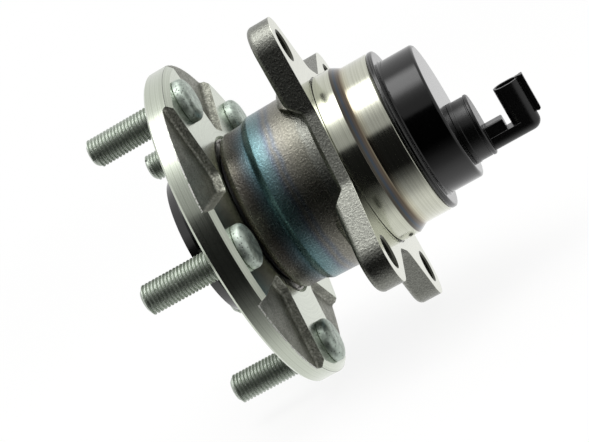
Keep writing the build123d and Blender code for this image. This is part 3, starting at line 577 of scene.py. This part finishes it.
plated = add(
    stud_tree, "GeometryNodeSetMaterial", {"Geometry": real, "Material": given["Finish"]},
).outputs[0]
add(stud_tree, "NodeGroupOutput", {0: plated})
stud_maker = bpy.data.objects.new("stud_maker", stud_mesh)
scene.collection.objects.link(stud_maker)
modifier = stud_maker.modifiers.new("studs", "NODES")
modifier.node_group = stud_tree
for name, kind, value in stud_sizes:
    modifier[stud_keys[name]] = value
evaluated = stud_maker.evaluated_get(bpy.context.evaluated_depsgraph_get())
threaded_mesh = bpy.data.meshes.new_from_object(evaluated)
stud_maker.modifiers.clear()
bpy.data.objects.remove(stud_maker)
threaded_studs = bpy.data.objects.new("threaded_studs", threaded_mesh)
scene.collection.objects.link(threaded_studs)
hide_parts("wheel_studs")
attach(threaded_studs, "hub")


# Outer ring
# One steel forging, induction hardened and turned. Its barrel and the sides of its ear plate keep
# their dark skin, the plate's inboard face is turned bright and the knuckle's two seats are ground.
face_reach = 55.1 * MM
skin_reach = 30.5 * MM
ear_angle = math.radians(-25.1)
ear_across = (math.cos(ear_angle), 0, -math.sin(ear_angle))
ear_along = (math.sin(ear_angle), 0, math.cos(ear_angle))
hole_place = (34.0 * MM, 44.5 * MM, 0)
hole_reach = 7.0 * MM
hole_roughness = 0.45
ear_back = 44.5 * MM
step_start = 21.5 * MM
step_end = 24.8 * MM
step_rise = 1.5 * MM
step_ease = 1.1 * MM
band_wander = 1.2 * MM
barrel_grain = 0.17 * MM
plate_grain = 0.2 * MM
seat_mark_depth = 0.0016 * MM
seat_mark = 0.455 * MM
heat_patch = 7.14 * MM
# Hardening heat leaves oxide colours on the skin, and the darkest teal, at 23.5 mm on the barrel's step, is
# partly painted shade along the step. Each stop is a place along the axis in mm.
barrel_mouth = 12.0
plate_face = 55.0
ring_end = 78.2
oxide_and_step_shade_stops = (
    (12.0, "#8a8678"), (14.0, "#74716a"), (16.0, "#625e58"), (18.0, "#504f4d"), (19.5, "#4b5154"),
    (21.5, "#4a5a5f"), (23.5, "#3c565c"), (25.0, "#5c7a7e"), (27.5, "#688488"), (30.0, "#6a7f84"),
    (31.5, "#626b75"), (33.0, "#75746f"), (34.5, "#6a6f75"), (36.0, "#7f7d75"), (40.0, "#7d7b71"),
    (44.5, "#78776e"), (46.0, "#82837c"), (55.0, "#81827b"),
)
# The ground seats are bright, with a straw edge next to the groove that the heat has blued.
seat_stops = (
    (55.0, "#c9cbbb"), (62.9, "#c9cbbb"), (63.2, "#4d473f"), (63.9, "#55534d"), (64.6, "#46505b"),
    (65.3, "#5b5652"), (66.2, "#665b4d"), (66.9, "#9a917d"), (68.0, "#c2bfab"), (70.0, "#cccdbe"),
    (78.2, "#cccdbe"),
)
ring_forging, tree = start_finish("induction_hardened_forging")
place = add(tree, "ShaderNodeTexCoord").outputs["Object"]
along, arm = from_axis(tree, place)
radius = add(tree, "ShaderNodeVectorMath", {0: arm}, operation="LENGTH").outputs["Value"]
past_face = add(tree, "ShaderNodeMath", {0: along, 1: face_reach}, operation="GREATER_THAN").outputs[0]
inside = add(tree, "ShaderNodeMath", {0: radius, 1: skin_reach}, operation="LESS_THAN").outputs[0]
across = add(
    tree, "ShaderNodeVectorMath", {0: place, 1: ear_across}, operation="DOT_PRODUCT",
).outputs["Value"]
upward = add(
    tree, "ShaderNodeVectorMath", {0: place, 1: ear_along}, operation="DOT_PRODUCT",
).outputs["Value"]
on_plate = add(tree, "ShaderNodeCombineXYZ", {0: across, 1: upward}).outputs[0]
folded = add(tree, "ShaderNodeVectorMath", {0: on_plate}, operation="ABSOLUTE").outputs[0]
from_hole = add(
    tree, "ShaderNodeVectorMath", {0: folded, 1: hole_place}, operation="DISTANCE",
).outputs["Value"]
in_hole = add(tree, "ShaderNodeMath", {0: from_hole, 1: hole_reach}, operation="LESS_THAN").outputs[0]
cut = add(tree, "ShaderNodeMath", {0: past_face, 1: inside}, operation="MAXIMUM").outputs[0]
machined = add(tree, "ShaderNodeMath", {0: cut, 1: in_hole}, operation="MAXIMUM").outputs[0]

# The shot-blast grain is drawn as on the hub, the fine marks on the cut faces at nearly half a
# millimetre, and the heat's bands wander by as much.
grain = add(
    tree, "ShaderNodeTexNoise",
    {"Vector": place, "Scale": 1 / blast_grain, "Detail": 3.0, "Roughness": 0.65},
).outputs["Fac"]
patches = add(
    tree, "ShaderNodeTexNoise", {"Vector": place, "Scale": 1 / heat_patch, "Detail": 3.0},
).outputs["Fac"]
wander = add(
    tree, "ShaderNodeMath", {0: patches, 1: 2 * band_wander, 2: -band_wander}, operation="MULTIPLY_ADD",
).outputs[0]
moved = add(tree, "ShaderNodeMath", {0: along, 1: wander}).outputs[0]
oxide_span = {"Value": moved, "From Min": barrel_mouth * MM, "From Max": plate_face * MM}
oxide_share = add(tree, "ShaderNodeMapRange", oxide_span).outputs[0]
oxide_ramp = []
for y, code in oxide_and_step_shade_stops:
    oxide_ramp.append(((y - barrel_mouth) / (plate_face - barrel_mouth), linear(code)))
oxide_and_step_shade = add(tree, "ShaderNodeValToRGB", {0: oxide_share}, stops=oxide_ramp).outputs[0]
speckle = add(tree, "ShaderNodeMapRange", noise_span(grain, 0.74, 1.22)).outputs[0]
skin = add(tree, "ShaderNodeVectorMath", {0: oxide_and_step_shade, "Scale": speckle}, operation="SCALE").outputs[0]
seat_span = {"Value": along, "From Min": plate_face * MM, "From Max": ring_end * MM}
seat_share = add(tree, "ShaderNodeMapRange", seat_span).outputs[0]
seat_ramp = [((y - plate_face) / (ring_end - plate_face), linear(code)) for y, code in seat_stops]
seat = add(tree, "ShaderNodeValToRGB", {0: seat_share}, stops=seat_ramp).outputs[0]
cut_radius = add(tree, "ShaderNodeMix", {0: in_hole, 2: radius, 3: from_hole}).outputs[0]
turning = add(tree, "ShaderNodeCombineXYZ", {0: cut_radius, 1: along}).outputs[0]
marks = add(
    tree, "ShaderNodeTexNoise",
    {"Vector": turning, "Scale": 1 / seat_mark, "Detail": 3.0, "Roughness": 0.6},
    noise_dimensions="2D",
).outputs["Fac"]
shade = add(tree, "ShaderNodeMapRange", noise_span(marks, 0.84, 1.05)).outputs[0]
ground = add(tree, "ShaderNodeVectorMath", {0: seat, "Scale": shade}, operation="SCALE").outputs[0]
# The bolt holes' walls are coloured a dark grey, painted shade inside the holes.
ground_and_hole_shade = add(
    tree, "ShaderNodeMix", {0: in_hole, 6: ground, 7: linear("#55564e")}, data_type="RGBA",
).outputs[2]
base = add(tree, "ShaderNodeMix", {0: machined, 6: skin, 7: ground_and_hole_shade}, data_type="RGBA").outputs[2]
skin_rough = add(tree, "ShaderNodeMapRange", noise_span(grain, 0.33, 0.24)).outputs[0]
ground_rough = add(tree, "ShaderNodeMapRange", noise_span(marks, 0.12, 0.16)).outputs[0]
bored_rough = add(tree, "ShaderNodeMix", {0: in_hole, 2: ground_rough, 3: hole_roughness}).outputs[0]
rough = add(tree, "ShaderNodeMix", {0: machined, 2: skin_rough, 3: bored_rough}).outputs[0]
# The forge leaves the ear plate coarser than the barrel. The barrel's turned step is drawn softer
# than its cone, by the difference between a smooth rise and the straight one.
on_ears = add(tree, "ShaderNodeMath", {0: along, 1: ear_back}, operation="GREATER_THAN").outputs[0]
coarseness = add(
    tree, "ShaderNodeMapRange", {"Value": on_ears, "To Min": barrel_grain, "To Max": plate_grain},
).outputs[0]
grain_relief = add(tree, "ShaderNodeMath", {0: grain, 1: coarseness}, operation="MULTIPLY").outputs[0]
straight = {
    "Value": along, "From Min": step_start, "From Max": step_end, "To Min": 0.0, "To Max": step_rise,
}
straight_rise = add(tree, "ShaderNodeMapRange", straight).outputs[0]
smooth = {**straight, "From Min": step_start + step_ease, "From Max": step_end + step_ease}
smooth_rise = add(tree, "ShaderNodeMapRange", smooth, interpolation_type="SMOOTHSTEP").outputs[0]
easing = add(tree, "ShaderNodeMath", {0: smooth_rise, 1: straight_rise}, operation="SUBTRACT").outputs[0]
skin_relief = add(tree, "ShaderNodeMath", {0: grain_relief, 1: easing}).outputs[0]
off_holes = add(tree, "ShaderNodeMath", {0: 1.0, 1: in_hole}, operation="SUBTRACT").outputs[0]
mark_depth = add(
    tree, "ShaderNodeMath", {0: off_holes, 1: seat_mark_depth}, operation="MULTIPLY",
).outputs[0]
ground_relief = add(tree, "ShaderNodeMath", {0: marks, 1: mark_depth}, operation="MULTIPLY").outputs[0]
relief = add(tree, "ShaderNodeMix", {0: machined, 2: skin_relief, 3: ground_relief}).outputs[0]
bump = add(tree, "ShaderNodeBump", {"Height": relief, "Strength": 1.0, "Distance": 1.0}).outputs[0]
surface = {"Base Color": base, "Metallic": 1.0, "Roughness": rough, "Normal": bump}
end_finish(tree, surface)
wear(ring_forging, "outer_ring")


# Outboard seal
# A pressed stainless case in the barrel's mouth carries moulded nitrile lips, which run on a
# stainless slinger that is pressed onto the hub and turns with it.
# Rolled stainless sheet is a fine dull mirror, with rolling lines drawn at 0.4 mm.
rolling_line = 0.4 * MM
sheet_haze = 5.0 * MM
stainless, tree = start_finish("rolled_stainless_sheet")
place = add(tree, "ShaderNodeTexCoord").outputs["Object"]
along, arm = from_axis(tree, place)
radius = add(tree, "ShaderNodeVectorMath", {0: arm}, operation="LENGTH").outputs["Value"]
drawing = add(tree, "ShaderNodeCombineXYZ", {0: radius, 1: along}).outputs[0]
lines = add(
    tree, "ShaderNodeTexNoise", {"Vector": drawing, "Scale": 1 / rolling_line, "Detail": 2.0},
    noise_dimensions="2D",
).outputs["Fac"]
haze = add(
    tree, "ShaderNodeTexNoise", {"Vector": place, "Scale": 1 / sheet_haze, "Detail": 3.0},
).outputs["Fac"]
sheet_stops = ((0.35, linear("#96948c")), (0.65, linear("#b4b3ac")))
colour = add(tree, "ShaderNodeValToRGB", {0: haze}, stops=sheet_stops).outputs[0]
rough = add(tree, "ShaderNodeMapRange", noise_span(lines, 0.24, 0.34)).outputs[0]
bump = add(tree, "ShaderNodeBump", {"Height": lines, "Strength": 0.5, "Distance": 0.01 * MM}).outputs[0]
surface = {"Base Color": colour, "Metallic": 1.0, "Roughness": rough, "Normal": bump}
end_finish(tree, surface)
wear(stainless, "seal_case", "encoder_carrier")

# The slinger is the same sheet, coloured a darker brownish grey.
slinger_sheet = stainless.copy()
slinger_sheet.name = "darker_stainless_sheet"
for node in slinger_sheet.node_tree.nodes:
    if node.bl_idname == "ShaderNodeValToRGB":
        node.color_ramp.elements[0].color = linear("#5f5a52")
        node.color_ramp.elements[1].color = linear("#7d7a71")
wear(slinger_sheet, "seal_slinger")

# Moulded nitrile rubber is near black with a soft greasy sheen and a faint cloudy bloom.
bloom_cloud = 3.3 * MM
nitrile, tree = start_finish("nitrile_rubber")
place = add(tree, "ShaderNodeTexCoord").outputs["Object"]
bloom = add(
    tree, "ShaderNodeTexNoise", {"Vector": place, "Scale": 1 / bloom_cloud, "Detail": 4.0},
).outputs["Fac"]
rubber_stops = ((0.35, linear("#161616")), (0.7, linear("#2b2a29")))
colour = add(tree, "ShaderNodeValToRGB", {0: bloom}, stops=rubber_stops).outputs[0]
rough = add(tree, "ShaderNodeMapRange", noise_span(bloom, 0.42, 0.6)).outputs[0]
bump = add(tree, "ShaderNodeBump", {"Height": bloom, "Strength": 0.4, "Distance": 0.05 * MM}).outputs[0]
surface = {"Base Color": colour, "Roughness": rough, "IOR": 1.52, "Normal": bump}
end_finish(tree, surface)
wear(nitrile, "seal_lips")


# Ball rows
# Two rows of twelve chrome steel balls run in the outer ring's grooves, each row held by a snap-in
# cage of moulded nylon.
# Lapped steel is a clean mirror, with a thin film of grease that clouds it a little.
grease_cloud = 2.9 * MM
ball_steel, tree = start_finish("lapped_chrome_steel")
place = add(tree, "ShaderNodeTexCoord").outputs["Object"]
film = add(
    tree, "ShaderNodeTexNoise", {"Vector": place, "Scale": 1 / grease_cloud, "Detail": 3.0},
).outputs["Fac"]
ball_stops = ((0.3, linear("#c4c5c8")), (0.7, linear("#dcdddf")))
colour = add(tree, "ShaderNodeValToRGB", {0: film}, stops=ball_stops).outputs[0]
rough = add(tree, "ShaderNodeMapRange", noise_span(film, 0.04, 0.12)).outputs[0]
surface = {"Base Color": colour, "Metallic": 1.0, "Roughness": rough}
end_finish(tree, surface)
balls_per_row = 12
for number in range(1, balls_per_row + 1):
    wear(ball_steel, f"outboard_ball_{number:02d}", f"inboard_ball_{number:02d}")

# Nylon with glass fibre is a warm ivory with short darker flecks, drawn wider than the real fibres,
# and glows a little at thin edges.
fibre_fleck = 0.56 * MM
cage_flow = 8.3 * MM
cage_nylon, tree = start_finish("glass_filled_nylon")
place = add(tree, "ShaderNodeTexCoord").outputs["Object"]
flecks = add(
    tree, "ShaderNodeTexNoise", {"Vector": place, "Scale": 1 / fibre_fleck, "Detail": 2.0},
).outputs["Fac"]
flow = add(
    tree, "ShaderNodeTexNoise", {"Vector": place, "Scale": 1 / cage_flow, "Detail": 3.0},
).outputs["Fac"]
blend = add(tree, "ShaderNodeMix", {0: 0.5, 2: flecks, 3: flow}).outputs[0]
nylon_stops = ((0.35, linear("#b8aa85")), (0.65, linear("#d6cba9")))
colour = add(tree, "ShaderNodeValToRGB", {0: blend}, stops=nylon_stops).outputs[0]
rough = add(tree, "ShaderNodeMapRange", noise_span(blend, 0.38, 0.5)).outputs[0]
bump = add(tree, "ShaderNodeBump", {"Height": flecks, "Strength": 0.3, "Distance": 0.03 * MM}).outputs[0]
surface = {
    "Base Color": colour, "Roughness": rough, "IOR": 1.53, "Subsurface Weight": 0.05, "Normal": bump,
}
end_finish(tree, surface)
wear(cage_nylon, "outboard_cage", "inboard_cage")


# Small inner ring
# A ring of hardened bearing steel carries the inboard row, ground all over and pressed onto the
# spindle. It is a bright mirror with fine grinding lines round it, drawn at 0.4 mm.
grinding_line = 0.4 * MM
ground_steel, tree = start_finish("ground_bearing_steel")
place = add(tree, "ShaderNodeTexCoord").outputs["Object"]
along, arm = from_axis(tree, place)
radius = add(tree, "ShaderNodeVectorMath", {0: arm}, operation="LENGTH").outputs["Value"]
grinding = add(tree, "ShaderNodeCombineXYZ", {0: radius, 1: along}).outputs[0]
lines = add(
    tree, "ShaderNodeTexNoise", {"Vector": grinding, "Scale": 1 / grinding_line, "Detail": 3.0},
    noise_dimensions="2D",
).outputs["Fac"]
steel_stops = ((0.3, linear("#bfc1c0")), (0.7, linear("#d2d4d2")))
colour = add(tree, "ShaderNodeValToRGB", {0: lines}, stops=steel_stops).outputs[0]
rough = add(tree, "ShaderNodeMapRange", noise_span(lines, 0.1, 0.18)).outputs[0]
bump = add(tree, "ShaderNodeBump", {"Height": lines, "Strength": 0.5, "Distance": 0.008 * MM}).outputs[0]
surface = {"Base Color": colour, "Metallic": 1.0, "Roughness": rough, "Normal": bump}
end_finish(tree, surface)
wear(ground_steel, "inner_ring")


# Hub nut
# A forged hexagon nut with a washer face, screwed down on the spindle to load the bearing. Its
# phosphate coat is a matt charcoal that oil has darkened in patches. Its crystals are a few
# hundredths of a millimetre wide and are drawn at 0.6 mm.
coat_crystal = 0.625 * MM
oil_patch = 9.1 * MM
phosphate, tree = start_finish("phosphated_steel")
place = add(tree, "ShaderNodeTexCoord").outputs["Object"]
crystals = add(
    tree, "ShaderNodeTexNoise", {"Vector": place, "Scale": 1 / coat_crystal, "Detail": 3.0},
).outputs["Fac"]
oil = add(
    tree, "ShaderNodeTexNoise", {"Vector": place, "Scale": 1 / oil_patch, "Detail": 3.0},
).outputs["Fac"]
blend = add(tree, "ShaderNodeMix", {0: 0.6, 2: crystals, 3: oil}).outputs[0]
coat_stops = ((0.35, linear("#2b2d2e")), (0.65, linear("#56595a")))
colour = add(tree, "ShaderNodeValToRGB", {0: blend}, stops=coat_stops).outputs[0]
rough = add(tree, "ShaderNodeMapRange", noise_span(oil, 0.42, 0.62)).outputs[0]
bump = add(
    tree, "ShaderNodeBump", {"Height": crystals, "Strength": 0.5, "Distance": 0.05 * MM},
).outputs[0]
surface = {"Base Color": colour, "Metallic": 0.7, "Roughness": rough, "Normal": bump}
end_finish(tree, surface)
wear(phosphate, "hub_nut")


# Encoder magnet
# A ring of magnetised rubber, moulded onto its stainless carrier on the small inner ring. It is a
# matt brown-black with fine light specks of ferrite powder, drawn at 0.6 mm.
ferrite_speck = 0.59 * MM
magnet_rubber, tree = start_finish("ferrite_filled_rubber")
place = add(tree, "ShaderNodeTexCoord").outputs["Object"]
powder = add(
    tree, "ShaderNodeTexNoise", {"Vector": place, "Scale": 1 / ferrite_speck, "Detail": 3.0},
).outputs["Fac"]
magnet_stops = ((0.4, linear("#1f1b1a")), (0.62, linear("#38312e")), (0.72, linear("#5a524d")))
colour = add(tree, "ShaderNodeValToRGB", {0: powder}, stops=magnet_stops).outputs[0]
rough = add(tree, "ShaderNodeMapRange", noise_span(powder, 0.5, 0.65)).outputs[0]
bump = add(tree, "ShaderNodeBump", {"Height": powder, "Strength": 0.3, "Distance": 0.03 * MM}).outputs[0]
surface = {"Base Color": colour, "Roughness": rough, "IOR": 1.52, "Normal": bump}
end_finish(tree, surface)
wear(magnet_rubber, "encoder_magnet")


# Sensor cap
# A can drawn from sheet steel and pressed into the outer ring, coated in black gloss paint. The
# coat is a dark mirror with a slight orange peel and a little dust, and its lip shows two fine lines.
paint_peel = 3.85 * MM
paint_dust = 1.11 * MM
lip_lines = (79.0 * MM, 80.0 * MM)
lip_line_half = 0.12 * MM
lip_outer = 33.5 * MM
cap_paint, tree = start_finish("black_gloss_coat")
place = add(tree, "ShaderNodeTexCoord").outputs["Object"]
along, arm = from_axis(tree, place)
radius = add(tree, "ShaderNodeVectorMath", {0: arm}, operation="LENGTH").outputs["Value"]
peel = add(
    tree, "ShaderNodeTexNoise", {"Vector": place, "Scale": 1 / paint_peel, "Detail": 2.0},
).outputs["Fac"]
dust = add(
    tree, "ShaderNodeTexNoise", {"Vector": place, "Scale": 1 / paint_dust, "Detail": 4.0},
).outputs["Fac"]
first_line = add(
    tree, "ShaderNodeMath", {0: along, 1: lip_lines[0], 2: lip_line_half}, operation="COMPARE",
).outputs[0]
second_line = add(
    tree, "ShaderNodeMath", {0: along, 1: lip_lines[1], 2: lip_line_half}, operation="COMPARE",
).outputs[0]
on_lip = add(tree, "ShaderNodeMath", {0: radius, 1: lip_outer}, operation="GREATER_THAN").outputs[0]
either = add(tree, "ShaderNodeMath", {0: first_line, 1: second_line}, operation="MAXIMUM").outputs[0]
lip_lines_lighter = add(tree, "ShaderNodeMath", {0: either, 1: on_lip}, operation="MULTIPLY").outputs[0]
coat_stops = ((0.35, linear("#010101")), (0.75, linear("#030303")))
coat = add(tree, "ShaderNodeValToRGB", {0: dust}, stops=coat_stops).outputs[0]
# Two fine lines round the lip are painted a lighter grey.
colour = add(
    tree, "ShaderNodeMix", {0: lip_lines_lighter, 6: coat, 7: linear("#4c4d4b")}, data_type="RGBA",
).outputs[2]
rough = add(tree, "ShaderNodeMapRange", noise_span(dust, 0.11, 0.16)).outputs[0]
bump = add(tree, "ShaderNodeBump", {"Height": peel, "Strength": 0.5, "Distance": 0.03 * MM}).outputs[0]
surface = {"Base Color": colour, "Roughness": rough, "IOR": 1.5, "Normal": bump}
end_finish(tree, surface)
wear(cap_paint, "sensor_cap")


# Sensor body
# The sensor's knob, arm and plug socket are one moulding of black glass-filled nylon, clipped into
# the cap. It is satin, with a fine spark-eroded texture drawn at 0.6 mm and edges rounded by the
# mould, which catch the light.
spark_pit = 0.625 * MM
moulding_flow = 5.56 * MM
black_nylon, tree = start_finish("black_glass_filled_nylon")
place = add(tree, "ShaderNodeTexCoord").outputs["Object"]
texture = add(
    tree, "ShaderNodeTexNoise", {"Vector": place, "Scale": 1 / spark_pit, "Detail": 2.0},
).outputs["Fac"]
flow = add(
    tree, "ShaderNodeTexNoise", {"Vector": place, "Scale": 1 / moulding_flow, "Detail": 3.0},
).outputs["Fac"]
softened = add(tree, "ShaderNodeBevel", {"Radius": 0.35 * MM}, samples=8).outputs[0]
nylon_stops = ((0.3, linear("#030303")), (0.7, linear("#080808")))
moulded = add(tree, "ShaderNodeValToRGB", {0: flow}, stops=nylon_stops).outputs[0]
rough = add(tree, "ShaderNodeMapRange", noise_span(texture, 0.26, 0.36)).outputs[0]
bump_inputs = {"Height": texture, "Strength": 0.4, "Distance": 0.03 * MM, "Normal": softened}
bump = add(tree, "ShaderNodeBump", bump_inputs).outputs[0]
surface = {"Base Color": moulded, "Roughness": rough, "IOR": 1.53, "Normal": bump}
end_finish(tree, surface)
wear(black_nylon, "sensor_body")


# Chip and terminals
# The sensor's chip is potted in dark epoxy, and its two terminals are blanked from brass strip and
# plated with tin. Epoxy is a flat grey-black with fine filler, and tin a soft white metal with
# rolling lines along the strip, and both are drawn coarser than they are.
filler_grain = 0.42 * MM
tin_line = 0.33 * MM
tin_line_length = 5.0 * MM
chip_epoxy, tree = start_finish("filled_epoxy")
place = add(tree, "ShaderNodeTexCoord").outputs["Object"]
filler = add(
    tree, "ShaderNodeTexNoise", {"Vector": place, "Scale": 1 / filler_grain, "Detail": 2.0},
).outputs["Fac"]
epoxy_stops = ((0.35, linear("#1d1e20")), (0.7, linear("#34363a")))
colour = add(tree, "ShaderNodeValToRGB", {0: filler}, stops=epoxy_stops).outputs[0]
rough = add(tree, "ShaderNodeMapRange", noise_span(filler, 0.45, 0.6)).outputs[0]
surface = {"Base Color": colour, "Roughness": rough, "IOR": 1.55}
end_finish(tree, surface)
wear(chip_epoxy, "sensor_chip")

tin, tree = start_finish("tin_plated_brass")
place = add(tree, "ShaderNodeTexCoord").outputs["Object"]
line_scale = (1 / tin_line, 1 / tin_line_length, 1 / tin_line_length)
strip = add(tree, "ShaderNodeMapping", {"Vector": place, "Scale": line_scale}).outputs[0]
rolled = add(tree, "ShaderNodeTexNoise", {"Vector": strip, "Scale": 1.0, "Detail": 3.0}).outputs["Fac"]
tin_stops = ((0.35, linear("#b9b6ab")), (0.7, linear("#d4d2c9")))
colour = add(tree, "ShaderNodeValToRGB", {0: rolled}, stops=tin_stops).outputs[0]
rough = add(tree, "ShaderNodeMapRange", noise_span(rolled, 0.22, 0.34)).outputs[0]
surface = {"Base Color": colour, "Metallic": 1.0, "Roughness": rough}
end_finish(tree, surface)
wear(tin, "terminal_pins")
